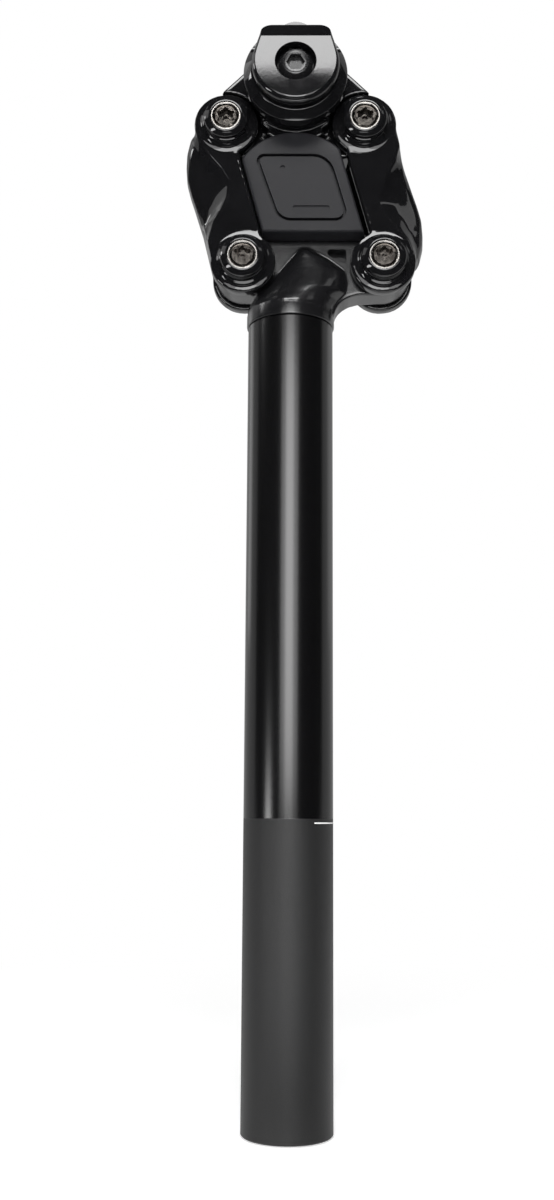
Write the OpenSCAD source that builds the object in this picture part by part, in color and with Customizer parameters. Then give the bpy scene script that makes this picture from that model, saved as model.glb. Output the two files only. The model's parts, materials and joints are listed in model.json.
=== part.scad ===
// Suspension seatpost with a sprung parallelogram head and a side-clamping saddle cradle.
// Origin: centre of the tube's lower end. +Z up the tube, +X towards the front of the
// bicycle, +Y towards its left side. Millimetres.

/* [Post tube] */
// Outside diameter of the tube, which slides into the frame
tube_d = 30.9; // [27.2:0.1:31.6]
// Wall of the tube
tube_wall = 2.1; // [1.6:0.1:2.6]
// Length of the tube from its lower end to the collar
tube_len = 280; // [180:1:340]

/* [Linkage] */
// Distance between the two pivots of the lower body, and of the head
pivot_gap = 51; // [48:0.5:60]
// Distance between the two pivots of a link
link_len = 54.4; // [52:0.2:64]
// Backward lean of the links at rest, in degrees
link_lean = 7; // [4:0.5:10]
// Swing of the links from rest to the end of their travel, in degrees
travel = 50; // [40:1:50]
// Height of the lower pivots above the collar seam
pivot_rise = 22.3; // [21:0.1:26]
// How far the middle of the lower pivots sits ahead of the tube
pivot_ahead = 8.1; // [6:0.1:9]
// Diameter of the pivot axles
axle_d = 11.3; // [9:0.1:11.6]
// Running clearance between axle and bushing, on the radius
run_gap = 0.05; // [0.01:0.01:0.1]
// Wall of a bushing
bush_wall = 1.5; // [1:0.1:1.6]
// Thickness of a bushing's flange
flange_t = 0.8; // [0.5:0.1:1]
// Half thickness of the lower body and head at their pivots
knuckle_half = 5.3; // [4.5:0.1:6]
// Radius of the lower body and head around their pivots
knuckle_r = 10.5; // [9.8:0.1:10.8]

/* [Links] */
// Thickness of a link's side plates
plate_t = 4.4; // [3.5:0.1:5]
// Side gap between a link and the bushing flanges
side_gap = 0.2; // [0.1:0.05:0.3]
// Radius of a link's ears
ear_r = 12; // [11.6:0.1:12.4]
// Radius of the round bosses on the ears
boss_r = 8; // [7.4:0.1:9]
// How far the bosses stand out from the plates
boss_h = 5.8; // [4:0.1:7]
// How far the spine joining the plates bulges beyond the pivots
spine_out = 16.8; // [15:0.1:18]

/* [Head and clamp] */
// Height of the clamp bolt above the upper pivots
clamp_rise = 15.2; // [14.8:0.1:19]
// Radius of the head's barrel
barrel_r = 17.5; // [16:0.1:18]
// Half length of the head's barrel
barrel_half = 13; // [12:0.1:14]
// Radius of the inner cradles
cradle_r = 19; // [18:0.1:19.6]
// Distance between the middles of the saddle rails
rail_gap = 43.6; // [43:0.1:44.4]
// Diameter of a saddle rail
rail_d = 7; // [6.6:0.1:7]
// Height of the rails above the clamp bolt
rail_rise = 10.4; // [10.3:0.1:10.8]
// Gap between cradle and cap, taken up as the rails are gripped
grip_gap = 0.5; // [0.3:0.1:0.8]
// Distance of a cap's face from the middle of the post
cap_face = 27; // [26.6:0.1:28]
// Diameter of the clamp bolt
bolt_d = 8; // [7:0.5:8]

/* [Elastomer] */
// Half thickness of the elastomer block
block_half = 12.5; // [11.5:0.1:13]
// Clearance around the block, at the links and under the head
block_gap = 0.5; // [0.3:0.1:0.8]
// Distance from each lower pivot to the foot of the block's flank
block_foot = 7; // [6.6:0.1:8]
// Backward lean of the block's flanks, in degrees
flank_lean = 15; // [13:0.5:16]

/* [Hidden] */
$fn = 96;
eps = 0.01;

// Pivot centres as [x, z]
pivot_z = tube_len + pivot_rise;
lean_x = link_len * sin(link_lean);
lean_z = link_len * cos(link_lean);
full_lean = link_lean + travel;
low_rear = [pivot_ahead - pivot_gap / 2, pivot_z];
low_front = [pivot_ahead + pivot_gap / 2, pivot_z];
top_rear = low_rear + [-lean_x, lean_z];
top_front = low_front + [-lean_x, lean_z];
clamp_at = (top_rear + top_front) / 2 + [0, clamp_rise];

// Stack across the pivots, from the middle outwards
axle_r = axle_d / 2;
bush_r = axle_r + run_gap + bush_wall;
flange_r = bush_r + 1.4;
plate_in = knuckle_half + flange_t + side_gap;
plate_out = plate_in + plate_t;
boss_face = plate_out + boss_h;

// Pivot screws
axle_end = boss_face - 0.3;
screw_head_r = 4.5;
screw_head_h = 3.2;
screw_recess = 0.3;
screw_r = 2.5;
screw_len = 9;
slip = 0.05;

// Collar and neck of the lower body
collar_r = tube_d / 2 + 0.55;
spigot_len = 22;
spigot_wall = 2.8;
neck_reach = 21.3;
neck_z = tube_len + 7;
gable_z = pivot_z + 7.4;
ear_room = 0.8;

// Elastomer block: a round top over straight leaning flanks
block_top = 60;
arch_r = link_len * 0.414;
arch_at = (top_rear + top_front) / 2 - [0, arch_r + 5.1];

// Distance from a lower pivot's vertical line to the block's rear flank, at a height
function flank_x(up) = block_foot - tan(flank_lean) * (up - knuckle_r);

// Inner edge of a link's plate, as [across, along] the link, beside the rear flank
function plate_edge(up) = [
    flank_x(up) * cos(link_lean) + up * sin(link_lean) - block_gap,
    up * cos(link_lean) - flank_x(up) * sin(link_lean)
];

// Height on a link at which its spine clears the neighbour's flat at full travel
function spine_end(out) =
    link_len - (knuckle_r + ear_room - out * sin(full_lean)) / cos(full_lean);

// Room that the rear link's plates need beside the head at full travel
plate_room = plate_edge(link_len - 20)[0] + ear_room;

// Saddle clamp
rail_y = rail_gap / 2;
rail_z = clamp_at[1] + rail_rise;
cradle_in = barrel_half + 0.2;
cradle_out = rail_y - grip_gap / 2;
cap_in = rail_y + grip_gap / 2;
clamp_top = clamp_at[1] + 16;
bolt_r = bolt_d / 2;
bolt_head_r = bolt_r * 1.6;
seat_r = bolt_head_r + 0.3;
seat_y = rail_y + 0.8;
washer_t = 0.6;
bolt_head_h = 3.2;
hub_r = 6.6;
hub_in = 18.5;
cap_r = 15.9;

// Extrudes an outline drawn in [x, z] from one side distance to another
module across(y0, y1) {
    translate([0, y1, 0])
        rotate([90, 0, 0])
            linear_extrude(y1 - y0)
                children();
}

// The same on both sides of the post
module both_sides(y0, y1) {
    across(y0, y1) children();
    across(-y1, -y0) children();
}

// A cylinder across the post at a pivot or at the clamp
module round_across(at, r, y0, y1) {
    translate([at[0], y1, at[1]])
        rotate([90, 0, 0])
            cylinder(h = y1 - y0, r = r);
}

// The same on both sides of the post
module round_both(at, r, y0, y1) {
    round_across(at, r, y0, y1);
    round_across(at, r, -y1, -y0);
}

module disc(at, r) {
    translate(at) circle(r = r);
}

// Tube that slides into the bicycle frame
module post_tube() {
    color("black")
        difference() {
            cylinder(h = tube_len, r = tube_d / 2);
            translate([0, 0, -1])
                cylinder(h = tube_len + 2, r = tube_d / 2 - tube_wall);
        }
}

// Neck between the round collar and the flat knuckle plate
module neck() {
    side = collar_r - 0.4;
    intersection() {
        across(-collar_r, collar_r)
            polygon([
                [-side, tube_len + 4],
                [side, tube_len + 4],
                [neck_reach, tube_len + 9],
                [neck_reach, pivot_z - 1],
                [4.5, gable_z],
                [-9, pivot_z - 5],
                [-side, pivot_z - 12]
            ]);
        rotate([0, 0, 90])
            across(-neck_reach - 1, neck_reach + 1)
                polygon([
                    [-side, tube_len],
                    [side, tube_len],
                    [side, neck_z],
                    [knuckle_half - 0.2, gable_z],
                    [0.2 - knuckle_half, gable_z],
                    [-side, neck_z]
                ]);
        translate([0, 0, tube_len])
            cylinder(h = 40, r = neck_reach - 0.3);
    }
}

// Lower body: collar, spigot inside the tube, and the plate with the lower pivots
module lower_body() {
    spigot_r = tube_d / 2 - tube_wall - slip;
    color("dimgray")
        difference() {
            union() {
                difference() {
                    union() {
                        translate([0, 0, tube_len])
                            cylinder(h = 10, r = collar_r);
                        neck();
                    }
                    round_both(low_rear, ear_r + ear_room, knuckle_half, collar_r + 1);
                    round_both(low_front, ear_r + ear_room, knuckle_half, collar_r + 1);
                }
                translate([0, 0, tube_len - spigot_len])
                    cylinder(h = spigot_len + 5, r = spigot_r);
                across(-knuckle_half, knuckle_half)
                    hull() {
                        disc(low_rear, knuckle_r);
                        disc(low_front, knuckle_r);
                    }
            }
            translate([0, 0, tube_len - spigot_len - 1])
                cylinder(h = spigot_len + 8, r = spigot_r - spigot_wall);
            for (at = [low_rear, low_front])
                round_across(at, bush_r, -collar_r, collar_r);
            both_sides(knuckle_half - 2, knuckle_half + 1)
                polygon([
                    [17.2, pivot_z + 6.6],
                    [22, pivot_z + 6.6],
                    [22, pivot_z + 2],
                    [17.2, pivot_z + 4.4]
                ]);
        }
}

// Elastomer spring that fills the parallelogram
module elastomer() {
    color("darkslategray")
        across(-block_half, block_half)
            intersection() {
                disc(arch_at, arch_r);
                polygon([
                    low_rear + [flank_x(knuckle_r), knuckle_r],
                    low_rear + [flank_x(block_top), block_top],
                    low_front + [flank_x(block_top) - 2 * block_foot, block_top],
                    low_front + [-block_foot, knuckle_r]
                ]);
            }
}

// One bushing with a flange, pushed into a bore from one side
module bushing(at, side) {
    y_in = 0.3;
    difference() {
        union() {
            round_side(at, bush_r, y_in, knuckle_half, side);
            round_side(at, flange_r, knuckle_half, knuckle_half + flange_t, side);
        }
        round_side(at, axle_r + run_gap, -1, knuckle_half + 2, side);
    }
}

// A cylinder on one side of the post, between two distances from its middle
module round_side(at, r, y0, y1, side) {
    if (side > 0)
        round_across(at, r, y0, y1);
    else
        round_across(at, r, -y1, -y0);
}

module lower_bushings() {
    color("gray")
        for (at = [low_rear, low_front], side = [-1, 1])
            bushing(at, side);
}

module upper_bushings() {
    color("gray")
        for (at = [top_rear, top_front], side = [-1, 1])
            bushing(at, side);
}

// A link in its own place: lower pivot at the origin, upper pivot straight above it,
// spine towards -X. Both links are this forging; the front one is turned end for end.
module link() {
    ends = [[0, 0], [0, link_len]];
    difference() {
        union() {
            both_sides(plate_in, plate_out) {
                disc(ends[0], ear_r);
                disc(ends[1], ear_r);
                polygon([
                    plate_edge(9),
                    plate_edge(link_len - 13),
                    [3.4, link_len - 4],
                    [-11.2, link_len - 5],
                    [-9.4, link_len - 11],
                    [-1.4, link_len - 23],
                    [-4, 22.5],
                    [-11.4, 9],
                    [-11.4, 2],
                    [0, 0]
                ]);
            }
            across(-plate_in - 1, plate_in + 1)
                polygon([
                    [-11.8, 2],
                    [-12.8, 12],
                    [-14.6, 23],
                    [-spine_out + 0.6, link_len - 22],
                    [-spine_out, link_len - 15],
                    [-spine_out + 0.2, link_len - 9],
                    [-spine_out + 2, link_len - 4],
                    [-11.8, link_len + 1],
                    [-10, spine_end(10)],
                    [-0.8, spine_end(0.8)],
                    [-0.8, 8]
                ]);
            for (at = ends)
                round_both(at, boss_r, plate_out, boss_face);
        }
        for (at = ends) {
            round_across(at, knuckle_r + ear_room, -plate_in, plate_in);
            round_across(at, axle_r, -boss_face - 1, boss_face + 1);
        }
    }
}

module rear_link() {
    color("black")
        translate([low_rear[0], 0, low_rear[1]])
            rotate([0, -link_lean, 0])
                link();
}

module front_link() {
    color("black")
        translate([top_front[0], 0, top_front[1]])
            rotate([0, 180 - link_lean, 0])
                link();
}

// Hollow axle with a seat for a screw head in each end
module axle(at) {
    screw_seat = axle_end - screw_recess - screw_head_h - slip;
    difference() {
        round_across(at, axle_r, -axle_end, axle_end);
        round_across(at, screw_r + slip, -axle_end - 1, axle_end + 1);
        round_both(at, screw_head_r + 0.3, screw_seat, axle_end + 1);
    }
}

module rear_lower_axle() {
    color("silver") axle(low_rear);
}

module rear_upper_axle() {
    color("silver") axle(top_rear);
}

module front_lower_axle() {
    color("silver") axle(low_front);
}

module front_upper_axle() {
    color("silver") axle(top_front);
}

// Screw with a six-lobed drive, facing outwards on one side
module pivot_screw(at, side) {
    face = axle_end - screw_recess;
    under = face - screw_head_h;
    drive_r = 2.7;
    difference() {
        union() {
            round_side(at, screw_head_r, under, face, side);
            round_side(at, screw_r, under - screw_len, under, side);
        }
        round_side(at, drive_r, face - 2.2, face + 1, side);
        for (turn = [0:60:300])
            round_side(at + drive_r * [cos(turn), sin(turn)], 0.7, face - 2.2, face + 1, side);
        round_side(at, 1.1, face - 4, face + 1, side);
    }
}

module rear_link_screws() {
    color("silver")
        for (at = [low_rear, top_rear], side = [-1, 1])
            pivot_screw(at, side);
}

module front_link_screws() {
    color("silver")
        for (at = [low_front, top_front], side = [-1, 1])
            pivot_screw(at, side);
}

// Outline of the head: barrel and two knuckles joined by straight flanks
module head_outline() {
    hull() {
        disc(clamp_at, barrel_r);
        disc(top_rear, knuckle_r);
        disc(top_front, knuckle_r);
    }
}

// Outline of the room for the rear link's plates, measured from a pivot
module swept_corner() {
    rotate(full_lean - 90)
        translate([0, -15])
            square([40, 15 + plate_room]);
}

module head() {
    color("black")
        difference() {
            union() {
                across(-knuckle_half, knuckle_half) head_outline();
                difference() {
                    across(-plate_out + 0.7, plate_out - 0.7) head_outline();
                    for (at = [top_rear, top_front])
                        round_both(at, ear_r + ear_room, knuckle_half, plate_out);
                    both_sides(knuckle_half, plate_out) {
                        translate(top_rear) swept_corner();
                        translate(top_front) mirror([1, 0]) swept_corner();
                    }
                }
                round_across(clamp_at, barrel_r, -barrel_half, barrel_half);
            }
            round_across(arch_at, arch_r + block_gap, -barrel_half - 1, barrel_half + 1);
            round_across(clamp_at, bolt_r + 0.3, -barrel_half - 1, barrel_half + 1);
            for (at = [top_rear, top_front])
                round_across(at, bush_r, -barrel_half, barrel_half);
        }
}

// Outline of everything below the flat top of the clamp
module below_top() {
    translate([clamp_at[0] - 40, clamp_top - 80])
        square([80, 80]);
}

// Saddle rail, as the room that it needs
module rail_room(side) {
    translate([clamp_at[0] - 30, side * rail_y, rail_z])
        rotate([0, 90, 0])
            cylinder(h = 60, r = rail_d / 2);
}

// Inner cradle that carries a saddle rail against the barrel
module cradle(side) {
    lug_w = 6.8;
    lug_y = cradle_out - 1.2;
    difference() {
        union() {
            intersection() {
                union() {
                    round_side(clamp_at, cradle_r - 1.6, cradle_in, cradle_in + 2, side);
                    round_side(clamp_at, cradle_r, cradle_in + 2, cradle_out, side);
                }
                across(-cradle_out - 1, cradle_out + 1) below_top();
            }
            // toothed lug on top
            difference() {
                translate([clamp_at[0] - lug_w / 2, side * lug_y - 1, clamp_top - 1])
                    cube([lug_w, 2, 3.9]);
                for (k = [-2:2])
                    translate([clamp_at[0] + k * 1.4 - 0.3, side * lug_y - 2, clamp_top + 2.4])
                        cube([0.6, 4, 1]);
            }
        }
        round_side(clamp_at, bolt_r + 0.3, 0, cradle_out + 1, side);
        round_side(clamp_at, hub_r + 0.2, hub_in - 0.5, cradle_out + 1, side);
        rail_room(side);
    }
}

module right_cradle() {
    color("black") cradle(-1);
}

module left_cradle() {
    color("black") cradle(1);
}

// Outline of a cap: round below, with square shoulders
module cap_outline(shrink) {
    hull() {
        disc(clamp_at, cap_r - shrink);
        disc(clamp_at + [-8.2, 10], 6 - shrink);
        disc(clamp_at + [8.2, 10], 6 - shrink);
    }
}

// Outer cap that presses a saddle rail into its cradle
module cap(side) {
    bevel = 1.3;
    difference() {
        union() {
            intersection() {
                union() {
                    side_slab(cap_in, cap_face - bevel, side) cap_outline(0);
                    side_slab(cap_face - bevel - eps, cap_face, side) cap_outline(bevel);
                }
                // sloping band along the top
                rotate([0, 0, 90])
                    across(-40, 40)
                        polygon([
                            [0, clamp_top - 60],
                            [side * cap_face, clamp_top - 60],
                            [side * cap_face, clamp_top - 6.2],
                            [side * (cap_face - 2.8), clamp_top - 0.3],
                            [side * (cap_face - 3.2), clamp_top],
                            [0, clamp_top]
                        ]);
            }
            round_side(clamp_at, hub_r, hub_in, cap_in + eps, side);
        }
        round_side(clamp_at, bolt_r + 0.3, 0, cap_face + 1, side);
        round_side(clamp_at, seat_r, seat_y, cap_face + 1, side);
        rail_room(side);
    }
}

// Extrudes an outline on one side of the post
module side_slab(y0, y1, side) {
    if (side > 0)
        across(y0, y1) children();
    else
        across(-y1, -y0) children();
}

module right_cap() {
    color("black") cap(-1);
}

module left_cap() {
    color("black") cap(1);
}

// Washer under the head of the clamp bolt
module bolt_washer() {
    color("silver")
        difference() {
            round_side(clamp_at, bolt_head_r, seat_y, seat_y + washer_t, -1);
            round_side(clamp_at, bolt_r + 0.2, seat_y - 1, seat_y + 2, -1);
        }
}

// Clamp bolt with a hexagon socket
module clamp_bolt() {
    under = seat_y + washer_t;
    color("dimgray")
        difference() {
            union() {
                round_side(clamp_at, bolt_head_r, under, under + bolt_head_h, -1);
                round_across(clamp_at, bolt_r, -under, seat_y + bolt_head_h);
            }
            translate([clamp_at[0], -under - 0.8, clamp_at[1]])
                rotate([90, 0, 0])
                    cylinder(h = bolt_head_h, r = 3.5, $fn = 6);
        }
}

// Round nut in the left cap
module clamp_nut() {
    color("dimgray")
        difference() {
            round_side(clamp_at, bolt_head_r, seat_y, seat_y + bolt_head_h, 1);
            round_side(clamp_at, bolt_r + slip, seat_y - 1, seat_y + bolt_head_h + 1, 1);
        }
}

post_tube();
lower_body();
elastomer();
lower_bushings();
rear_link();
rear_lower_axle();
rear_upper_axle();
rear_link_screws();
front_link();
front_lower_axle();
front_upper_axle();
front_link_screws();
head();
upper_bushings();
right_cradle();
left_cradle();
right_cap();
left_cap();
clamp_bolt();
bolt_washer();
clamp_nut();
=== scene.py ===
import json
import math

import bmesh
import bpy
from mathutils import Matrix, Vector


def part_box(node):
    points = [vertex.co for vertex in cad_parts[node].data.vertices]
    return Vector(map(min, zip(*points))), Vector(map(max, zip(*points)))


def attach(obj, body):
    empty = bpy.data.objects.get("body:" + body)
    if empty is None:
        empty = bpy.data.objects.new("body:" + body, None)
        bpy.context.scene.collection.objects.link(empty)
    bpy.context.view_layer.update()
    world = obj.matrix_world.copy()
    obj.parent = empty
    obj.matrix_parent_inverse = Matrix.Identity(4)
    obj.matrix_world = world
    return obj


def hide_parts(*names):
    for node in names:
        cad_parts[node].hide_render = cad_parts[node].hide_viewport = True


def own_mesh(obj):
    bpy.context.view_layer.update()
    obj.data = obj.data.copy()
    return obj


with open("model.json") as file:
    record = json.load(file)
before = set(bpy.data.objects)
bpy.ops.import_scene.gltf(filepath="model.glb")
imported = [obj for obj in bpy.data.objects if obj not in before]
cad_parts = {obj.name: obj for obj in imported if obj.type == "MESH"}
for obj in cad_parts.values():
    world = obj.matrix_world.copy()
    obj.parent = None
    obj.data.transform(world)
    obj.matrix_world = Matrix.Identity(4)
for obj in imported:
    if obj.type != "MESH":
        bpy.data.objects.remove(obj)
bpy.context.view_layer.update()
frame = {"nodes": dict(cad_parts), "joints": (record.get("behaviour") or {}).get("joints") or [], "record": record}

mm = 0.001
joints = {joint["name"]: joint for joint in frame["joints"]}


def jointPlace(name):
    return Vector(joints[name]["pos_m"]) / mm


# Pivot centres, in millimetres
lowRear = jointPlace("rear_link_swing")
lowFront = jointPlace("front_link_swing")
topRear = jointPlace("head_level")
topFront = topRear + lowFront - lowRear
clampAt = jointPlace("saddle_tilt")
linkLength = (topRear - lowRear).length
linkLean = math.atan2(lowRear.x - topRear.x, topRear.z - lowRear.z)


def boxOf(node):
    low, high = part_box(node)
    return low / mm, high / mm


tubeHigh = boxOf("post_tube")[1]
tubeRadius = tubeHigh.x
tubeLength = tubeHigh.z
bossFace = boxOf("rear_link")[1].y
axleEnd = boxOf("rear_lower_axle")[1].y
screwFace = boxOf("rear_link_screws")[1].y
blockHalf = boxOf("elastomer")[1].y
capFace = -boxOf("right_cap")[0].y
cradleOut, cradleIn = (-corner.y for corner in boxOf("right_cradle"))
mounts = {mount["name"]: mount for mount in frame["record"]["mounts"]}
railAt = Vector(mounts["left_rail"]["pos_m"]) / mm
railRadius = mounts["left_rail"]["dims"]["r_mm"]
travel = math.radians(joints["rear_link_swing"]["range_deg"][1])


# Building helpers: shapes are drawn in millimetres, objects are in metres
def makeObject(name, bm, scale=mm):
    bmesh.ops.recalc_face_normals(bm, faces=bm.faces)
    bmesh.ops.scale(bm, vec=(scale, scale, scale), verts=bm.verts)
    mesh = bpy.data.meshes.new(name)
    bm.to_mesh(mesh)
    bm.free()
    piece = bpy.data.objects.new(name, mesh)
    bpy.context.scene.collection.objects.link(piece)
    return piece


# Rounds the one corner of a blank that stands at a place, to a radius
def roundCorner(bm, x, z, radius, steps):
    for edge in bm.edges:
        first, second = edge.verts[0].co, edge.verts[1].co
        upright = abs(first.y - second.y) > 1e-4
        if upright and math.hypot(first.x - x, first.z - z) < 1e-4:
            turn = edge.calc_face_angle(0)
            bmesh.ops.bevel(bm, geom=[edge], offset=radius * math.tan(turn / 2),
                            offset_type="OFFSET", affect="EDGES", segments=steps, profile=0.5,
                            material=-1, clamp_overlap=True)
            return


# A blank drawn in (x, z) and extruded across the post, with its corners rounded
def makeBlank(outline, yStart, yEnd, corner=0.0, edge=0.0, cornerSteps=6, edgeSteps=3):
    bm = bmesh.new()
    face = bm.faces.new([bm.verts.new((x, yStart, z)) for x, z in outline])
    grown = bmesh.ops.extrude_face_region(bm, geom=[face])
    moved = [v for v in grown["geom"] if isinstance(v, bmesh.types.BMVert)]
    bmesh.ops.translate(bm, verts=moved, vec=(0, yEnd - yStart, 0))
    bmesh.ops.recalc_face_normals(bm, faces=bm.faces)
    if isinstance(corner, (list, tuple)):
        for (x, z), radius in zip(outline, corner):
            roundCorner(bm, x, z, radius, cornerSteps)
    elif corner:
        upright = [e for e in bm.edges if abs(e.verts[0].co.y - e.verts[1].co.y) > 1e-4]
        bmesh.ops.bevel(bm, geom=upright, offset=corner, offset_type="OFFSET", affect="EDGES",
                        segments=cornerSteps, profile=0.5, material=-1, clamp_overlap=True)
    if edge:
        rims = [e for e in bm.edges if abs(e.verts[0].co.y - e.verts[1].co.y) < 1e-4
                and e.calc_face_angle(0) > 0.6]
        bmesh.ops.bevel(bm, geom=rims, offset=edge, offset_type="OFFSET", affect="EDGES",
                        segments=edgeSteps, profile=0.5, material=-1, clamp_overlap=True)
    return bm


# A turned part: profile of (radius, y) points spun about the pivot line through a place
def makeTurned(profile, place=(0, 0, 0), steps=96, axis=(0, 1, 0)):
    bm = bmesh.new()
    along = Vector(axis)
    out = Vector((1, 0, 0))
    points = [bm.verts.new(out * r + along * y) for r, y in profile]
    edges = [bm.edges.new(pair) for pair in zip(points, points[1:])]
    bmesh.ops.spin(bm, geom=points + edges, cent=(0, 0, 0), axis=along, angle=2 * math.pi,
                   steps=steps, use_merge=True, use_duplicate=False)
    bmesh.ops.remove_doubles(bm, verts=bm.verts, dist=1e-5)
    bmesh.ops.holes_fill(bm, edges=bm.edges, sides=0)
    bmesh.ops.translate(bm, verts=bm.verts, vec=Vector(place))
    return bm


def makeRod(place, radius, yStart, yEnd, steps=64):
    return makeTurned([(radius, yStart), (radius, yEnd)], (place[0], 0, place[2]), steps)


# A skin stretched over closed rings of points
def makeLoft(rings):
    bm = bmesh.new()
    loops = []
    for ring in rings:
        verts = [bm.verts.new(point) for point in ring]
        edges = [bm.edges.new((verts[i - 1], verts[i])) for i in range(len(verts))]
        loops.append((verts, edges))
    for below, above in zip(loops, loops[1:]):
        bmesh.ops.bridge_loops(bm, edges=below[1] + above[1])
    bm.faces.new(loops[0][0])
    bm.faces.new(loops[-1][0])
    return bm


def joinInto(bm, other):
    spare = bpy.data.meshes.new("spare")
    other.to_mesh(spare)
    other.free()
    bm.from_mesh(spare)
    bpy.data.meshes.remove(spare)


def bakeModifiers(piece):
    seen = piece.evaluated_get(bpy.context.evaluated_depsgraph_get())
    mesh = bpy.data.meshes.new_from_object(seen)
    piece.modifiers.clear()
    piece.data = mesh


def combine(piece, tools, operation):
    for tool in tools:
        modifier = piece.modifiers.new("combine", "BOOLEAN")
        modifier.operation = operation
        modifier.solver = "MANIFOLD"
        modifier.object = tool
    bakeModifiers(piece)
    for tool in tools:
        bpy.data.objects.remove(tool)
    return piece


def addTo(piece, *shapes):
    return combine(piece, [makeObject("tool", bm) for bm in shapes], "UNION")


def cutFrom(piece, *shapes):
    return combine(piece, [makeObject("tool", bm) for bm in shapes], "DIFFERENCE")


# Runs the metal together as a forging does: voxels, then a few rounds of smoothing
def forge(piece, voxel, rounds):
    remesh = piece.modifiers.new("voxels", "REMESH")
    remesh.mode = "VOXEL"
    remesh.voxel_size = voxel * mm
    soften = piece.modifiers.new("soften", "SMOOTH")
    soften.factor = 0.5
    soften.iterations = rounds
    bakeModifiers(piece)
    return piece


def copyOfNode(node, name):
    bm = bmesh.new()
    bm.from_mesh(frame["nodes"][node].data)
    bmesh.ops.remove_doubles(bm, verts=bm.verts, dist=1e-7)
    return makeObject(name, bm, 1.0)


def outlineFrom(centre, offsets):
    return [(centre.x + x, centre.z + z) for x, z in offsets]


def moveShape(bm, matrix):
    bmesh.ops.transform(bm, matrix=matrix, verts=bm.verts)
    return bm


def finishPiece(piece, material, body, nodes, sharp=32, even=True):
    piece.data.materials.clear()
    piece.data.materials.append(material)
    piece.data.shade_smooth()
    piece.data.set_sharp_from_angle(angle=math.radians(sharp))
    if even:
        normals = piece.modifiers.new("evenNormals", "WEIGHTED_NORMAL")
        normals.keep_sharp = True
        normals.weight = 90
    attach(piece, body)
    if nodes:
        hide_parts(*nodes)
    return piece


# Materials are procedural and lie on object coordinates
def newMaterial(name):
    material = bpy.data.materials.new(name)
    material.use_nodes = True
    nodes = material.node_tree.nodes
    nodes.clear()
    output = nodes.new("ShaderNodeOutputMaterial")
    shader = nodes.new("ShaderNodeBsdfPrincipled")
    material.node_tree.links.new(shader.outputs["BSDF"], output.inputs["Surface"])
    return material, shader


def addNoise(tree, scale, detail=4.0, roughness=0.55):
    coordinates = tree.nodes.new("ShaderNodeTexCoord")
    noise = tree.nodes.new("ShaderNodeTexNoise")
    noise.inputs["Scale"].default_value = scale
    noise.inputs["Detail"].default_value = detail
    noise.inputs["Roughness"].default_value = roughness
    tree.links.new(coordinates.outputs["Object"], noise.inputs["Vector"])
    return noise


def mapRange(tree, source, low, high, fromLow=0.3, fromHigh=0.7):
    node = tree.nodes.new("ShaderNodeMapRange")
    node.inputs["From Min"].default_value = fromLow
    node.inputs["From Max"].default_value = fromHigh
    node.inputs["To Min"].default_value = low
    node.inputs["To Max"].default_value = high
    tree.links.new(source, node.inputs["Value"])
    return node.outputs["Result"]


# A sum on sockets or plain numbers
def calculate(tree, operation, first, second):
    node = tree.nodes.new("ShaderNodeMath")
    node.operation = operation
    for socket, value in zip(node.inputs, (first, second)):
        if isinstance(value, (int, float)):
            socket.default_value = value
        else:
            tree.links.new(value, socket)
    return node.outputs[0]


def mixColours(tree, factor, first, second):
    node = tree.nodes.new("ShaderNodeMix")
    node.data_type = "RGBA"
    node.inputs["A"].default_value = (*first, 1)
    node.inputs["B"].default_value = (*second, 1)
    tree.links.new(factor, node.inputs["Factor"])
    return node.outputs["Result"]


def addBump(tree, shader, height, strength, distance):
    bump = tree.nodes.new("ShaderNodeBump")
    bump.inputs["Strength"].default_value = strength
    bump.inputs["Distance"].default_value = distance
    tree.links.new(height, bump.inputs["Height"])
    tree.links.new(bump.outputs["Normal"], shader.inputs["Normal"])


def paintedMetal(name, settings):
    material, shader = newMaterial(name)
    tree = material.node_tree
    cloud = addNoise(tree, settings["cloudScale"], 3.0)
    grain = addNoise(tree, settings["grainScale"], 2.0)
    colour = mixColours(tree, cloud.outputs["Fac"], settings["dark"], settings["light"])
    tree.links.new(colour, shader.inputs["Base Color"])
    rough = mapRange(tree, cloud.outputs["Fac"], settings["smooth"], settings["rough"])
    tree.links.new(rough, shader.inputs["Roughness"])
    addBump(tree, shader, grain.outputs["Fac"], settings["bump"], settings["bumpDepth"])
    shader.inputs["Metallic"].default_value = settings.get("metal", 0.0)
    shader.inputs["Specular IOR Level"].default_value = settings.get("specular", 0.5)
    return material


glossBlack = paintedMetal("glossBlackPaint", {
    "dark": (0.003, 0.003, 0.0034), "light": (0.006, 0.006, 0.0066),
    "smooth": 0.035, "rough": 0.065, "cloudScale": 90, "grainScale": 900,
    "bump": 0.04, "bumpDepth": 0.00005,
})
satinBlack = paintedMetal("satinBlackAnodised", {
    "dark": (0.0042, 0.0042, 0.0046), "light": (0.0075, 0.0075, 0.0082),
    "smooth": 0.16, "rough": 0.24, "cloudScale": 120, "grainScale": 4200,
    "bump": 0.16, "bumpDepth": 0.00005,
})
rubberGrey = paintedMetal("greyRubber", {
    "dark": (0.0085, 0.0085, 0.0098), "light": (0.0135, 0.0135, 0.0155),
    "smooth": 0.34, "rough": 0.46, "cloudScale": 160, "grainScale": 2600,
    "bump": 0.22, "bumpDepth": 0.00008, "specular": 0.14,
})
stainless = paintedMetal("stainlessSteel", {
    "dark": (0.17, 0.152, 0.136), "light": (0.27, 0.25, 0.23),
    "smooth": 0.1, "rough": 0.17, "cloudScale": 700, "grainScale": 2400,
    "bump": 0.03, "bumpDepth": 0.00004, "metal": 1.0,
})
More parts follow.
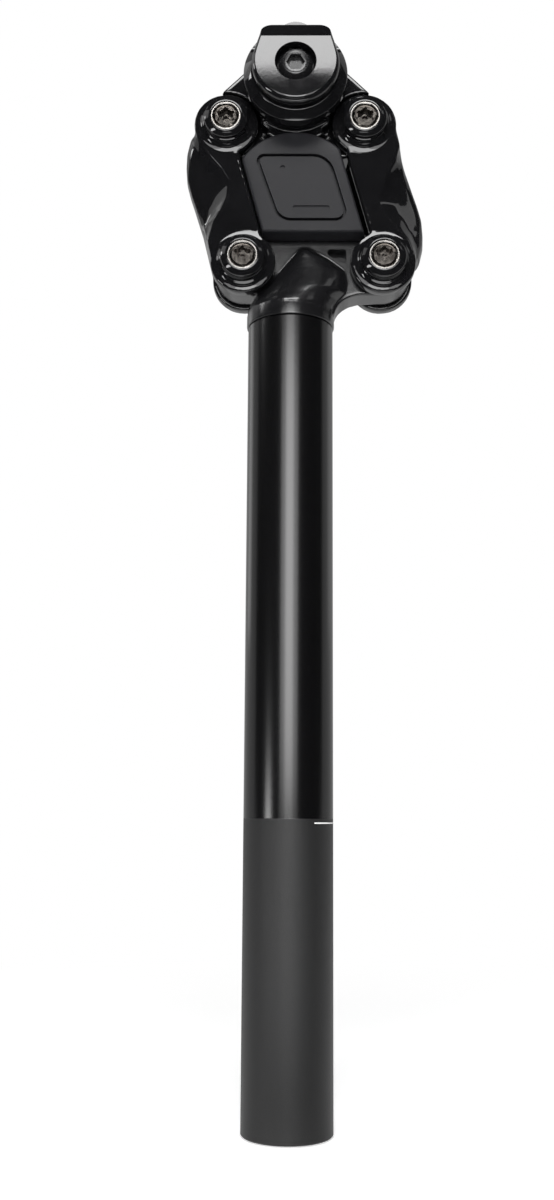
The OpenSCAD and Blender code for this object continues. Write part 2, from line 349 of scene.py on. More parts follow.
turnedSteel = paintedMetal("turnedSteel", {
    "dark": (0.26, 0.25, 0.235), "light": (0.36, 0.345, 0.33),
    "smooth": 0.22, "rough": 0.32, "cloudScale": 700, "grainScale": 2400,
    "bump": 0.05, "bumpDepth": 0.00004, "metal": 1.0,
})
blackSteel = paintedMetal("blackenedSteel", {
    "dark": (0.007, 0.007, 0.008), "light": (0.014, 0.014, 0.0145),
    "smooth": 0.2, "rough": 0.3, "cloudScale": 500, "grainScale": 2600,
    "bump": 0.1, "bumpDepth": 0.00004,
})
bushingBlack = paintedMetal("bushingPolymer", {
    "dark": (0.02, 0.02, 0.02), "light": (0.035, 0.035, 0.035),
    "smooth": 0.45, "rough": 0.6, "cloudScale": 400, "grainScale": 2600,
    "bump": 0.1, "bumpDepth": 0.00004,
})


# Gloss above the insertion mark, fine matte grain below it, and a thin white mark
tubePaint = {
    "grainTop": 103.0, "markHeight": 101.6, "markHalf": 0.22, "markFrom": 8.8, "markTo": 6.0,
    "gloss": (0.0018, 0.0018, 0.002), "matte": (0.0036, 0.0036, 0.0038), "mark": (0.75, 0.75, 0.75),
}


def makeTubePaint():
    material, shader = newMaterial("tubeBlack")
    tree = material.node_tree
    coordinates = tree.nodes.new("ShaderNodeTexCoord")
    split = tree.nodes.new("ShaderNodeSeparateXYZ")
    tree.links.new(coordinates.outputs["Object"], split.inputs["Vector"])

    height = split.outputs["Z"]
    edge = tubePaint["grainTop"] * mm
    isMatte = mapRange(tree, height, 1.0, 0.0, edge - 0.0001, edge + 0.0001)
    cloud = addNoise(tree, 60, 3.0)
    grain = addNoise(tree, 2300, 3.0, 0.7)
    glossColour = mixColours(tree, cloud.outputs["Fac"], tubePaint["gloss"],
                             tuple(1.4 * c for c in tubePaint["gloss"]))
    matteFactor = mapRange(tree, grain.outputs["Fac"], 0.0, 1.0)
    matteColour = mixColours(tree, matteFactor, tuple(0.6 * c for c in tubePaint["matte"]),
                             tuple(1.5 * c for c in tubePaint["matte"]))
    paint = tree.nodes.new("ShaderNodeMix")
    paint.data_type = "RGBA"
    tree.links.new(isMatte, paint.inputs["Factor"])
    tree.links.new(glossColour, paint.inputs["A"])
    tree.links.new(matteColour, paint.inputs["B"])
    tests = (
        (height, "GREATER_THAN", tubePaint["markHeight"] - tubePaint["markHalf"]),
        (height, "LESS_THAN", tubePaint["markHeight"] + tubePaint["markHalf"]),
        (split.outputs["X"], "GREATER_THAN", tubePaint["markFrom"]),
        (split.outputs["Y"], "LESS_THAN", tubePaint["markTo"]),
    )
    isMark = 1.0
    for source, operation, limit in tests:
        passed = calculate(tree, operation, source, limit * mm)
        isMark = calculate(tree, "MULTIPLY", isMark, passed)
    marked = tree.nodes.new("ShaderNodeMix")
    marked.data_type = "RGBA"
    marked.inputs["B"].default_value = (*tubePaint["mark"], 1)
    tree.links.new(isMark, marked.inputs["Factor"])
    tree.links.new(paint.outputs["Result"], marked.inputs["A"])
    tree.links.new(marked.outputs["Result"], shader.inputs["Base Color"])
    tree.links.new(mapRange(tree, isMatte, 0.2, 0.54, 0.0, 1.0), shader.inputs["Roughness"])
    fineHeight = calculate(tree, "MULTIPLY", grain.outputs["Fac"], isMatte)
    addBump(tree, shader, fineHeight, 0.5, 0.0001)
    return material


tubeBlack = makeTubePaint()
print("materials ready")

# Post tube
tube = {"wall": 2.1, "chamfer": 0.5}
inner = tubeRadius - tube["wall"]
tubeProfile = [
    (inner, tube["chamfer"]), (inner + tube["chamfer"], 0), (tubeRadius - tube["chamfer"], 0),
    (tubeRadius, tube["chamfer"]), (tubeRadius, tubeLength - 0.3),
    (tubeRadius - 0.3, tubeLength), (inner, tubeLength), (inner, tube["chamfer"]),
]
postTube = makeObject("postTube", makeTurned(tubeProfile, steps=160, axis=(0, 0, 1)))
finishPiece(postTube, tubeBlack, "post", ["post_tube"])
print("tube ready")

# Links: one forging, drawn upright with its lower pivot at the origin and its
# spine towards -x; the front link is the same forging turned end for end
link = {
    "stations": [3, 10, 16, 22, 27, 31.5, 37, 43, 48, 53],
    "plateEdge": [11.4, 12.0, 9.6, 5.2, 2.4, 1.2, 3.8, 7.8, 10.4, 11.2],
    "spine": [12.0, 12.8, 13.5, 14.6, 15.5, 16.4, 17.15, 16.85, 16.1, 14.2],
    "innerEdge": [7.6, 7.9, 7.1, 6.3, 5.5, 4.9, 4.1, 3.3, 3.3, 3.3],
    "plateFace": 10.55, "plateIn": 6.3, "earRadius": 11.9, "clearRadius": 11.3,
    "bossRadius": 8.0, "axleRadius": 5.65, "voxel": 0.42, "rounds": 26,
}


def linkRing(height, plate, spine, inner):
    face = link["plateFace"]
    run = spine - plate
    half = [
        (inner, face - 0.2), (-plate, face), (-plate - 0.42 * run, 7.3),
        (-plate - 0.8 * run, 5.4), (-spine + 0.3, 3.6), (-spine, 1.3),
    ]
    ring = [(x, -y, height) for x, y in half]
    return ring + [(x, y, height) for x, y in reversed(half)]


def bossProfile():
    r = link["bossRadius"]
    base = link["plateFace"] - 1
    return [
        (0, base), (r + 0.25, base), (r + 0.25, bossFace - 3.1), (r, bossFace - 2.8),
        (r, bossFace - 1.5), (r - 0.25, bossFace - 1.05), (r - 1.7, bossFace - 0.1),
        (r - 2.1, bossFace), (0, bossFace),
    ]


def filletProfile():
    r = link["bossRadius"]
    base = link["plateFace"]
    return [(0, base - 1.5), (r + 3.0, base - 1.5), (r + 2.4, base - 0.1), (r + 1.1, base + 0.7),
            (r + 0.3, base + 2.0), (0, base + 2.0)]


def bothSides(profile, height):
    shapes = []
    for side in (-1, 1):
        shapes.append(makeTurned([(r, side * y) for r, y in profile], (0, 0, height)))
    return shapes


def spineEnd(out):
    fullLean = linkLean + travel
    return linkLength - (link["clearRadius"] - out * math.sin(fullLean)) / math.cos(fullLean)


def makeLink(name):
    ends = (0, linkLength)
    rings = [linkRing(*values) for values in zip(
        link["stations"], link["plateEdge"], link["spine"], link["innerEdge"])]
    body = makeObject(name, makeLoft(rings))
    ears = [makeRod((0, 0, height), link["earRadius"], -link["plateFace"], link["plateFace"])
            for height in ends]
    fillets = [shape for height in ends for shape in bothSides(filletProfile(), height)]
    addTo(body, *ears, *fillets)
    room = link["plateIn"]
    channel = makeBlank([
        (-0.8, 8), (-0.8, spineEnd(0.8)), (-10, spineEnd(10)), (-11.8, linkLength + 1),
        (-14, linkLength + 14), (20, linkLength + 14), (20, -14), (-13, -14), (-11.8, 2),
    ], -room, room)
    cutFrom(body, channel)
    forge(body, link["voxel"], link["rounds"])
    bosses = [shape for height in ends for shape in bothSides(bossProfile(), height)]
    addTo(body, *bosses)
    cutFrom(body, *[makeRod((0, 0, height), link["axleRadius"], -20, 20) for height in ends])
    return body


def placePiece(piece, matrix):
    metres = matrix.copy()
    metres.translation = matrix.translation * mm
    piece.data.transform(metres)
    return piece


rearPlace = Matrix.Translation(lowRear) @ Matrix.Rotation(-linkLean, 4, "Y")
frontPlace = Matrix.Translation(topFront) @ Matrix.Rotation(math.pi - linkLean, 4, "Y")
rearLink = placePiece(makeLink("rearLink"), rearPlace)
finishPiece(rearLink, glossBlack, "rear_link", ["rear_link"], 38)
frontLink = placePiece(makeLink("frontLink"), frontPlace)
finishPiece(frontLink, glossBlack, "front_link", ["front_link"], 38)
print("links ready")

# Pivot axles and screws
pivot = {
    "ringInner": 4.75, "headRadius": 4.5, "headHigh": 3.2, "driveRadius": 2.75, "lobe": 0.72,
    "driveDepth": 2.2, "holeRadius": 1.1, "holeDepth": 3.0,
}


def axleProfile():
    r = link["axleRadius"]
    inner = pivot["ringInner"]
    seat = screwFace - pivot["headHigh"] - 0.1
    return [
        (0, 0), (r, 0), (r, axleEnd - 0.35), (r - 0.12, axleEnd - 0.08), (r - 0.35, axleEnd),
        (inner + 0.25, axleEnd), (inner, axleEnd - 0.3), (inner, seat), (0, seat),
    ]


def screwProfile():
    r = pivot["headRadius"]
    under = screwFace - pivot["headHigh"]
    return [
        (0, under), (r, under), (r, screwFace - 0.6),
        (r - 0.25, screwFace - 0.2), (r - 0.7, screwFace), (0, screwFace),
    ]


def makeAxles(name, centres):
    bm = bmesh.new()
    for centre in centres:
        for side in (-1, 1):
            joinInto(bm, makeTurned([(r, side * y) for r, y in axleProfile()],
                                    (centre.x, 0, centre.z), 72))
    return makeObject(name, bm)


def makeScrews(name, centres):
    heads = bmesh.new()
    drives = bmesh.new()
    for centre in centres:
        for side in (-1, 1):
            joinInto(heads, makeTurned([(r, side * y) for r, y in screwProfile()],
                                       (centre.x, 0, centre.z), 72))
            outer = side * (screwFace + 1)
            floor = side * (screwFace - pivot["driveDepth"])
            star = makeObject("star", makeRod(centre, pivot["driveRadius"], floor, outer, 48))
            lobes = []
            for k in range(6):
                turn = math.radians(60 * k + 30)
                at = centre + Vector((math.cos(turn), 0, math.sin(turn))) * pivot["driveRadius"]
                lobes.append(makeRod(at, pivot["lobe"], floor, outer, 20))
            holeFloor = side * (screwFace - pivot["holeDepth"])
            hole = makeRod(centre, pivot["holeRadius"], holeFloor, outer, 24)
            addTo(star, *lobes, hole)
            drives.from_mesh(star.data)
            bpy.data.objects.remove(star)
    screws = makeObject(name, heads)
    tool = makeObject("drives", drives, 1.0)
    return combine(screws, [tool], "DIFFERENCE")


for body, centres in (("rear_link", (lowRear, topRear)), ("front_link", (lowFront, topFront))):
    side = body.split("_")[0]
    axles = makeAxles(side + "Axles", centres)
    finishPiece(axles, turnedSteel, body,
                [side + "_lower_axle", side + "_upper_axle"], 14)
    screws = makeScrews(side + "Screws", centres)
    finishPiece(screws, stainless, body, [body + "_screws"], 14)
print("pivots ready")

# Head forging
head = {
    "voxel": 0.45, "rounds": 8, "recessTip": (-9.4, -2.1), "recessOut": (-21.5, 7.4),
    "recessLow": (-21.5, -11.1), "recessIn": 5.5, "recessFace": 14, "barrelRadius": 16.8,
    "barrelHalf": 13, "boltHole": 4.4,
}
middleX = (topRear.x + topFront.x) / 2


def recessOutline(side):
    points = []
    for key in ("recessTip", "recessOut", "recessLow"):
        x, z = head[key]
        points.append((middleX - side * x, topRear.z + z))
    return points


headForging = copyOfNode("head", "headForging")
recesses = []
for side in (-1, 1):
    for start, end in ((-head["recessFace"], -head["recessIn"]),
                       (head["recessIn"], head["recessFace"])):
        recesses.append(makeBlank(recessOutline(side), start, end))
keepBarrel = makeRod(clampAt, head["barrelRadius"], -head["barrelHalf"], head["barrelHalf"])
cutFrom(headForging, *recesses)
addTo(headForging, keepBarrel)
cutFrom(headForging, makeRod(clampAt, head["boltHole"], -20, 20))
forge(headForging, head["voxel"], head["rounds"])
finishPiece(headForging, glossBlack, "head", ["head"], 50)
print("head ready")

# Lower body: a collar that runs through a sloping neck into the pivot plate
lower = {
    "voxel": 0.36, "rounds": 10, "plateRadius": 10.5, "plateHalf": 5.3,
    "earRoom": 12.7, "collarRadius": tubeRadius + 0.55,
    # height above the tube, left end, right end and half depth of each section
    "neck": [(0.6, -15.7, 15.7, 15.7), (3.5, -15.9, 15.95, 15.95), (5.6, -15.9, 16.2, 15.9),
             (7.4, -15.6, 17.0, 15.2), (9.4, -14.6, 18.4, 14.3), (12, -12.6, 21.3, 13.2),
             (16, -9.4, 22.4, 11.4), (20.5, -6.0, 22.0, 9.5), (25, -2.6, 16.5, 7.7),
             (29, 1.8, 8.2, 6.2)],
    # x, and height above the tube, of the web under the plate
    "web": [(8, 4.2), (16.0, 4.2), (16.5, 6.0), (17.6, 7.9), (19.3, 9.5), (21.6, 10.8),
            (24.4, 11.6), (28, 12.0), (28, 15), (8, 15)],
    # offsets from the front lower pivot
    "pocket": [(-20.0, 6.9), (-13.2, 6.9), (-13.2, 1.2), (-16.2, 1.9), (-20.3, 5.1)],
    "pocketCorners": [0.9, 0.9, 0.7, 0.9, 0.9], "pocketFloor": 1.0,
}


def neckRing(up, left, right, depth):
    middle, half = (left + right) / 2, (right - left) / 2
    ring = []
    for k in range(40):
        turn = 2 * math.pi * k / 40
        ring.append((middle + half * math.cos(turn), depth * math.sin(turn), tubeLength + up))
    return ring


def plateOutline(radius):
    points = []
    for centre, start in ((lowFront, -90), (lowRear, 90)):
        for k in range(25):
            turn = math.radians(start + 7.5 * k)
            points.append((centre.x + radius * math.cos(turn), centre.z + radius * math.sin(turn)))
    return points


lowerBody = makeObject("lowerBody", makeLoft([neckRing(*section) for section in lower["neck"]]))
cutFrom(lowerBody, *[
    makeRod(centre, lower["earRoom"], side * lower["plateHalf"], side * 30)
    for centre in (lowRear, lowFront) for side in (-1, 1)])
addTo(lowerBody, makeBlank(plateOutline(lower["plateRadius"]), -lower["plateHalf"],
                           lower["plateHalf"], 0, 0.7))
addTo(lowerBody, makeBlank([(x, tubeLength + up) for x, up in lower["web"]],
                           -lower["plateHalf"], lower["plateHalf"]))
forge(lowerBody, lower["voxel"], lower["rounds"])
collarRadius = lower["collarRadius"]
collar = makeTurned([
    (tubeRadius - 1.5, tubeLength + 0.12), (collarRadius - 0.5, tubeLength + 0.12),
    (collarRadius - 0.12, tubeLength + 0.35), (collarRadius, tubeLength + 0.8),
    (collarRadius, tubeLength + 4.5), (collarRadius - 0.35, tubeLength + 5.4),
    (tubeRadius - 1.5, tubeLength + 5.4), (tubeRadius - 1.5, tubeLength + 0.12),
], steps=128, axis=(0, 0, 1))
addTo(lowerBody, collar)
pocket = outlineFrom(lowFront, lower["pocket"])
cutFrom(lowerBody, *[
    makeBlank(pocket, side * lower["pocketFloor"], side * (lower["plateHalf"] + 1),
              lower["pocketCorners"])
    for side in (-1, 1)])
finishPiece(lowerBody, satinBlack, "post", ["lower_body"], 40)
print("lower body ready")

# Elastomer block; the outlines are offsets from the rear lower pivot
block = {
    "foot": 10.5, "footRear": 7.0, "lean": 15, "archRadius": 23.4, "archDown": 27.62,
    "edge": 0.9, "grooveWide": 1.15, "grooveDeep": 2.0, "keep": 0.42,
    "groove": [(3.6, 40.9), (31.4, 40.9), (38.9, 14.6), (12.6, 14.6)],
    "grooveCorners": [3.0, 8.0, 4.2, 6.5],
    "label": [(18.1, 17.7), (31.4, 17.7), (31.4, 20.6), (18.1, 20.6)], "labelDeep": 0.5,
    "dimple": [(14.3, 35.4)], "dimpleRadius": 0.9,
    "squashAlong": (0.81, 0, 0.59),
}


# The rear flank, the front flank and the arch between them
def blockOutline():
    slope = math.tan(math.radians(block["lean"]))
    bottom = lowRear.z + block["foot"]
    centre = Vector((middleX, topRear.z - block["archDown"]))
    feet = (lowRear.x + block["footRear"], lowFront.x - block["footRear"])
    meets = []
    for foot, side in zip(feet, (-1, 1)):
        up = 20.0
        for _ in range(40):
            across = abs(foot - slope * up - centre.x)
            up = centre.y + math.sqrt(block["archRadius"] ** 2 - across ** 2) - bottom
        meets.append(math.atan2(bottom + up - centre.y, foot - slope * up - centre.x))
    points = [(feet[0], bottom), (feet[1], bottom)]
    for k in range(33):
        turn = meets[1] + (meets[0] - meets[1]) * k / 32
        points.append((centre.x + block["archRadius"] * math.cos(turn),
                       centre.y + block["archRadius"] * math.sin(turn)))
    return points


blockCopy = makeObject("elastomerBlock", makeBlank(
    blockOutline(), -blockHalf, blockHalf, 0, block["edge"], edgeSteps=4))


# A band that follows the rounded outline, sunk into one face of the block
def makeGroove(side):
    surface = side * blockHalf
    floorAt = surface - side * block["grooveDeep"]
    bm = makeBlank(outlineFrom(lowRear, block["groove"]), floorAt, surface + side,
                   block["grooveCorners"], cornerSteps=10)
    walls = [f for f in bm.faces if any(abs(v.co.y - floorAt) > 1e-4 for v in f.verts)]
    bmesh.ops.delete(bm, geom=walls, context="FACES")
    middle = bmesh.ops.inset_region(bm, faces=bm.faces[:], thickness=block["grooveWide"],
                                    use_even_offset=True, use_boundary=True)
    ring = middle["faces"]
    bmesh.ops.delete(bm, geom=[f for f in bm.faces if f not in ring], context="FACES")
    grown = bmesh.ops.extrude_face_region(bm, geom=bm.faces[:])
    moved = [v for v in grown["geom"] if isinstance(v, bmesh.types.BMVert)]
    bmesh.ops.translate(bm, verts=moved, vec=(0, side * (block["grooveDeep"] + 1), 0))
    return makeObject("groove", bm)


grooves = [makeGroove(side) for side in (-1, 1)]
combine(blockCopy, grooves, "DIFFERENCE")
label = outlineFrom(lowRear, block["label"])
labelFloor = blockHalf - block["labelDeep"]
dimpleX, dimpleZ = outlineFrom(lowRear, block["dimple"])[0]
cutFrom(
    blockCopy,
    makeBlank(label, -blockHalf - 1, -labelFloor, 0.7),
    makeBlank(label, labelFloor, blockHalf + 1, 0.7),
    makeRod((dimpleX, 0, dimpleZ), block["dimpleRadius"], -blockHalf - 1, -labelFloor, 24),
)
finishPiece(blockCopy, rubberGrey, "rear_link", ["elastomer"], 32, even=False)
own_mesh(blockCopy)
print("elastomer ready")

# Saddle clamp
clamp = {
    "capRadius": 15.9, "flare": 17,
    "shoulder": (8.4, 11.5), "shoulderRadius": 4.5, "shoulderTurn": 82,
    "topAbove": 16.0, "band": 6.2, "bandIn": 3.2, "counterbore": 7.4, "boreFloor": 22.6,
    "faceEdge": 2.8, "faceLean": 0.46, "capGap": 0.25, "boltHole": 4.3,
}


def capOutline(shrink=0.0, steps=48):
    cx, cz = clampAt.x, clampAt.z
    r = clamp["capRadius"] - shrink
    sx, sz = clamp["shoulder"]
    sr = clamp["shoulderRadius"] - shrink
    points = []
    for k in range(steps + 1):
        turn = math.radians(180 - clamp["flare"] + (180 + 2 * clamp["flare"]) * k / steps)
        points.append((cx + r * math.cos(turn), cz + r * math.sin(turn)))
    for k in range(13):
        turn = math.radians(clamp["flare"] + (90 - clamp["flare"]) * k / 12)
        points.append((cx + sx + sr * math.cos(turn), cz + sz + sr * math.sin(turn)))
    for k in range(13):
        turn = math.radians(90 + clamp["shoulderTurn"] * k / 12)
        points.append((cx - sx + sr * math.cos(turn), cz + sz + sr * math.sin(turn)))
    return points


def makeCap(name, side):
    outline = capOutline()
    capBack = railAt.y + clamp["capGap"]
    cap = makeObject(name, makeBlank(outline, side * capBack, side * capFace, 0,
                                     clamp["faceEdge"], edgeSteps=8))
    top = clampAt.z + clamp["topAbove"]
    slope = bmesh.new()
    wide = 30
    corner = [(side * (capFace + 3), top - 33), (side * (capFace + 3), top + 6),
              (side * (capFace - clamp["bandIn"]), top + 6),
              (side * (capFace - clamp["bandIn"]), top),
              (side * (capFace - clamp["faceLean"]), top - clamp["band"]),
              (side * capFace, top - 33)]
    verts = [slope.verts.new((clampAt.x - wide, y, z)) for y, z in corner]
    face = slope.faces.new(verts)
    grown = bmesh.ops.extrude_face_region(slope, geom=[face])
    moved = [v for v in grown["geom"] if isinstance(v, bmesh.types.BMVert)]
    bmesh.ops.translate(slope, verts=moved, vec=(2 * wide, 0, 0))
    cutFrom(cap, slope)
    bore = clamp["counterbore"]
    counterbore = makeTurned([
        (bore, side * clamp["boreFloor"]), (bore, side * (capFace - 0.6)),
        (bore + 0.15, side * (capFace - 0.25)), (bore + 0.55, side * capFace),
        (bore + 0.9, side * (capFace + 0.3)),
    ], clampAt)
    boltHole = makeRod(clampAt, clamp["boltHole"], side * 10, side * 40)
    cutFrom(cap, counterbore, boltHole, makeRail(side))
    return cap


cradle = {
    "radius": 19.0, "backRadius": 17.4, "hubRoom": 6.8, "hubFrom": 18, "lugRadius": 7.3,
    "lugAt": 20.35, "lugTop": 2.9, "tooth": 0.62, "toothRadius": 0.24,
}


def makeRail(side):
    rail = makeTurned([(railRadius, -60), (railRadius, 60)], (0, 0, 0), 48, (0, 0, 1))
    turned = Matrix.Rotation(math.pi / 2, 4, "Y")
    return moveShape(rail, Matrix.Translation((railAt.x, side * railAt.y, railAt.z)) @ turned)


def boxOutline(middle, half, start, end):
    return [(middle - half, start), (middle + half, start), (middle + half, end),
            (middle - half, end)]


def makeCradle(name, side):
    r, back = cradle["radius"], cradle["backRadius"]
    profile = [
        (0, cradleIn), (back - 0.3, cradleIn), (back, cradleIn + 0.3), (back, cradleIn + 1.6),
        (r - 0.25, cradleIn + 1.9), (r, cradleIn + 2.2), (r, cradleOut - 3.2),
        (r - 0.18, cradleOut - 2.8), (r - 2.6, cradleOut - 0.25), (r - 3.1, cradleOut),
        (0, cradleOut),
    ]
    piece = makeObject(name, makeTurned([(x, side * y) for x, y in profile], clampAt, 128))
    top = clampAt.z + clamp["topAbove"]
    cutFrom(piece, makeBlank(boxOutline(clampAt.x, 30, top, top + 20), -30, 30),
            makeRod(clampAt, cradle["hubRoom"], side * cradle["hubFrom"], side * 30),
            makeRod(clampAt, clamp["boltHole"], side * 5, side * 30), makeRail(side))
    lugTop = top + cradle["lugTop"]
    centre = Vector((clampAt.x, 0, lugTop - cradle["lugRadius"]))
    lug = makeObject("lug", makeRod(centre, cradle["lugRadius"], side * (cradle["lugAt"] - 1),
                                    side * (cradle["lugAt"] + 1), 120))
    teeth = []
    for k in range(-7, 8):
        turn = math.pi / 2 + k * cradle["tooth"] / cradle["lugRadius"]
        at = centre + Vector((math.cos(turn), 0, math.sin(turn))) * (cradle["lugRadius"] + 0.12)
        teeth.append(makeRod(at, cradle["toothRadius"], -30, 30, 12))
    cutFrom(lug, *teeth)
    cutFrom(lug, makeBlank(boxOutline(clampAt.x, 30, top - 0.5, top - 30), -40, 40))
    return combine(piece, [lug], "UNION")


for name, node, side in (("rightCradle", "right_cradle", -1), ("leftCradle", "left_cradle", 1)):
    finishPiece(makeCradle(name, side), glossBlack, "saddle_clamp", [node], 30)

bolt = {
    "shank": 4.0, "shankEnd": 25.9, "seat": 23.2, "headBase": 6.3, "headFace": 4.7,
    "headHigh": 3.0, "socket": 3.4, "socketDeep": 2.2,
}


# A domed head with a ridge round its rim
def headProfile(side):
    seat, high = bolt["seat"], bolt["headHigh"]
    profile = [
        (0, seat), (bolt["headBase"], seat), (bolt["headBase"], seat + 0.7),
        (bolt["headBase"] - 0.4, seat + 1.3), (bolt["headFace"] + 0.35, seat + high - 0.5),
        (bolt["headFace"] + 0.05, seat + high - 0.1), (bolt["headFace"] - 0.3, seat + high),
        (bolt["headFace"] - 0.8, seat + high - 0.25), (0, seat + high - 0.25),
    ]
    return [(r, side * y) for r, y in profile]


clampBolt = makeObject("clampBolt", makeTurned(headProfile(-1), clampAt, 96))
addTo(clampBolt, makeTurned([
    (bolt["shank"], -bolt["seat"] - 0.5), (bolt["shank"], bolt["shankEnd"] - 0.5),
    (bolt["shank"] - 0.5, bolt["shankEnd"]),
], clampAt, 64))
socketFloor = bolt["socketDeep"] - bolt["seat"] - bolt["headHigh"]
socket = makeTurned([(bolt["socket"], -40), (bolt["socket"], socketFloor)], clampAt, 6)
cutFrom(clampBolt, socket)
finishPiece(clampBolt, blackSteel, "right_cap", ["clamp_bolt"], 30)

for name, node, side in (("rightCap", "right_cap", -1), ("leftCap", "left_cap", 1)):
    cap = makeCap(name, side)
    finishPiece(cap, glossBlack, node, [node], 14)
print("clamp ready")

nodeMaterials = {
    "bolt_washer": blackSteel, "clamp_nut": blackSteel, "lower_bushings": bushingBlack,
    "upper_bushings": bushingBlack,
}
for node, material in nodeMaterials.items():
    shown = frame["nodes"][node]
    shown.data.materials.clear()
    shown.data.materials.append(material)

# Studio: a white floor and backdrop behind, a dark floor ahead, and soft lights
studio = {
    "floorGrey": 0.8, "floorUnseen": 0.02, "floorLift": 0.5, "plainFrom": 0.12, "plainTo": 0.5,
    "roomLevel": 0.03, "backdropLevel": 0.5, "darkFrom": -0.14, "darkTo": 0.02, "backdropAt": 1.6,
}


def newPlainMaterial(name):
    material = bpy.data.materials.new(name)
    material.use_nodes = True
    material.node_tree.nodes.clear()
    return material, material.node_tree


def makeFloor():
    bm = bmesh.new()
    bmesh.ops.create_grid(bm, x_segments=1, y_segments=1, size=4000)
    bmesh.ops.translate(bm, verts=bm.verts, vec=(0, 0, -0.4))
    floor = makeObject("floor", bm)
    material, tree = newPlainMaterial("paleFloor")
    output = tree.nodes.new("ShaderNodeOutputMaterial")
    add = tree.nodes.new("ShaderNodeAddShader")
    mix = tree.nodes.new("ShaderNodeMixShader")
    diffuse = tree.nodes.new("ShaderNodeBsdfDiffuse")
    lift = tree.nodes.new("ShaderNodeEmission")
    plain = tree.nodes.new("ShaderNodeEmission")
    path = tree.nodes.new("ShaderNodeLightPath")
    coordinates = tree.nodes.new("ShaderNodeTexCoord")
    length = tree.nodes.new("ShaderNodeVectorMath")
    length.operation = "LENGTH"
    tree.links.new(coordinates.outputs["Object"], length.inputs[0])
    split = tree.nodes.new("ShaderNodeSeparateXYZ")
    tree.links.new(coordinates.outputs["Object"], split.inputs[0])
    behind = mapRange(tree, split.outputs["Y"], 0.0, 1.0, studio["darkFrom"], studio["darkTo"])
    ahead = mapRange(tree, split.outputs["Y"], 1.0, 0.0, studio["darkFrom"], studio["darkTo"])
    hidden = calculate(tree, "MULTIPLY", path.outputs["Is Glossy Ray"], ahead)
    grey = mapRange(tree, hidden, studio["floorGrey"], studio["floorUnseen"], 0.0, 1.0)
    tree.links.new(grey, diffuse.inputs["Color"])
    shown = calculate(tree, "MULTIPLY", path.outputs["Is Glossy Ray"], behind)
    far = mapRange(tree, length.outputs["Value"], 0.0, 1.0, studio["plainFrom"], studio["plainTo"])
    seen = calculate(tree, "MAXIMUM", path.outputs["Is Camera Ray"], shown)
    liftSeen = calculate(tree, "MULTIPLY", seen, studio["floorLift"])
    tree.links.new(liftSeen, lift.inputs["Strength"])
    plainSeen = calculate(tree, "MULTIPLY", far, seen)
    tree.links.new(diffuse.outputs[0], add.inputs[0])
    tree.links.new(lift.outputs[0], add.inputs[1])
    tree.links.new(plainSeen, mix.inputs[0])
    tree.links.new(add.outputs[0], mix.inputs[1])
    tree.links.new(plain.outputs[0], mix.inputs[2])
    tree.links.new(mix.outputs[0], output.inputs["Surface"])
    floor.data.materials.append(material)


def makeBackdrop():
    bm = bmesh.new()
    reach = studio["backdropAt"]
    bmesh.ops.create_circle(bm, radius=reach, segments=64)
    bmesh.ops.bisect_plane(bm, geom=bm.verts[:] + bm.edges[:], plane_co=(0, 0.1 * reach, 0),
                           plane_no=(0, 1, 0), clear_inner=True)
    grown = bmesh.ops.extrude_edge_only(bm, edges=bm.edges[:])
    moved = [v for v in grown["geom"] if isinstance(v, bmesh.types.BMVert)]
    bmesh.ops.translate(bm, verts=moved, vec=(0, 0, 2.5))
    backdrop = makeObject("backdrop", bm, 1.0)
    material, tree = newPlainMaterial("whiteBackdrop")
    output = tree.nodes.new("ShaderNodeOutputMaterial")
    glow = tree.nodes.new("ShaderNodeEmission")
    path = tree.nodes.new("ShaderNodeLightPath")
    level = mapRange(tree, path.outputs["Is Camera Ray"], studio["backdropLevel"], 1.0, 0.0, 1.0)
    tree.links.new(level, glow.inputs["Strength"])
    tree.links.new(glow.outputs[0], output.inputs["Surface"])
    backdrop.data.materials.append(material)


def makeWorld():
    world = bpy.data.worlds.new("studio")
    bpy.context.scene.world = world
    world.use_nodes = True
    tree = world.node_tree
    tree.nodes.clear()
    output = tree.nodes.new("ShaderNodeOutputWorld")
    background = tree.nodes.new("ShaderNodeBackground")
    background.inputs["Color"].default_value = (1, 1, 1, 1)
    path = tree.nodes.new("ShaderNodeLightPath")
    level = mapRange(tree, path.outputs["Is Camera Ray"], studio["roomLevel"], 1.0, 0.0, 1.0)
    tree.links.new(level, background.inputs["Strength"])
    tree.links.new(background.outputs[0], output.inputs["Surface"])


makeFloor()
makeBackdrop()
makeWorld()

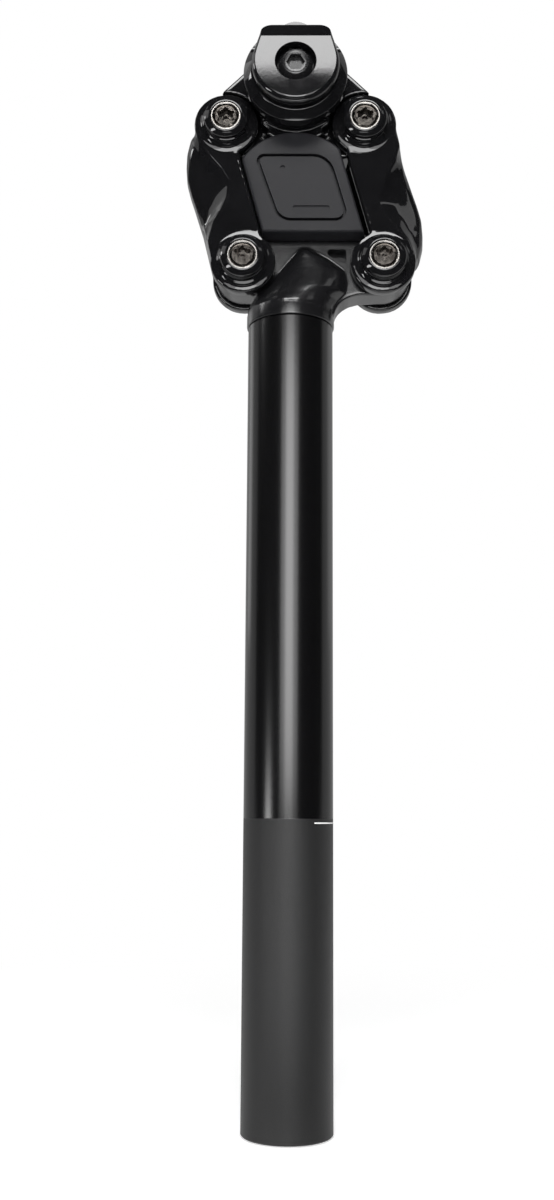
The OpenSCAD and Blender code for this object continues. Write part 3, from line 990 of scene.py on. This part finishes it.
# place, point aimed at, width and height, and radiance of each light
softLights = {
    "topSoftbox": ((0.0, -0.97, 1.31), (0, -0.03, 0.366), (0.7, 0.495), 12.5),
    "frontStrip": ((0.0, -1.1, 0.42), (0, 0, 0.42), (0.4, 0.6), 5.5),
    "frontWide": ((0.0, -1.12, 0.42), (0, 0, 0.42), (0.9, 0.6), 3.6),
    "leftLow": ((-0.73, -0.57, 0.03), (0, 0, 0.15), (0.34, 0.2), 9.0),
    "nearLow": ((0.0, -0.14, 0.012), (0, -0.14, 0.4), (0.4, 0.07), 3.5),
    "frontLow": ((0.0, -0.49, 0.012), (0, -0.49, 0.4), (0.34, 0.07), 2.0),
    "leftSide": ((-0.775, -0.068, 0.875), (0, 0, 0.33), (0.66, 0.36), 1.1),
    "leftGlint": ((-0.8, -0.11, 0.725), (0, 0, 0.33), (0.1, 0.14), 10.0),
    "rightSide": ((0.635, -0.367, 0.934), (0, 0, 0.33), (0.36, 0.16), 1.2),
    "leftRim": ((-0.62, 0.5, 0.46), (0, 0, 0.36), (0.26, 0.36), 0.9),
    "rightRim": ((0.62, 0.5, 0.46), (0, 0, 0.36), (0.26, 0.36), 0.25),
}
for name, (at, target, size, radiance) in softLights.items():
    light = bpy.data.lights.new(name, "AREA")
    light.shape = "ELLIPSE" if name.endswith("Low") else "RECTANGLE"
    light.size, light.size_y = size
    light.energy = radiance * math.pi * size[0] * size[1]
    lamp = bpy.data.objects.new(name, light)
    lamp.location = at
    lamp.rotation_euler = (Vector(at) - Vector(target)).to_track_quat("Z", "Y").to_euler()
    lamp.visible_camera = False
    bpy.context.scene.collection.objects.link(lamp)

view = {
    "lens": 37.7, "at": (0.00091, -0.43917, 0.1046), "pan": 0.685, "tilt": 9.656, "roll": 0.356,
}
camera = bpy.data.objects.new("camera", bpy.data.cameras.new("camera"))
camera.data.lens = view["lens"]
camera.matrix_world = (
    Matrix.Translation(view["at"])
    @ Matrix.Rotation(math.radians(view["pan"]), 4, "Z")
    @ Matrix.Rotation(math.radians(90 + view["tilt"]), 4, "X")
    @ Matrix.Rotation(math.radians(view["roll"]), 4, "Z")
)
bpy.context.scene.collection.objects.link(camera)
bpy.context.scene.camera = camera
bpy.context.scene.view_settings.view_transform = "Standard"
print("studio ready")
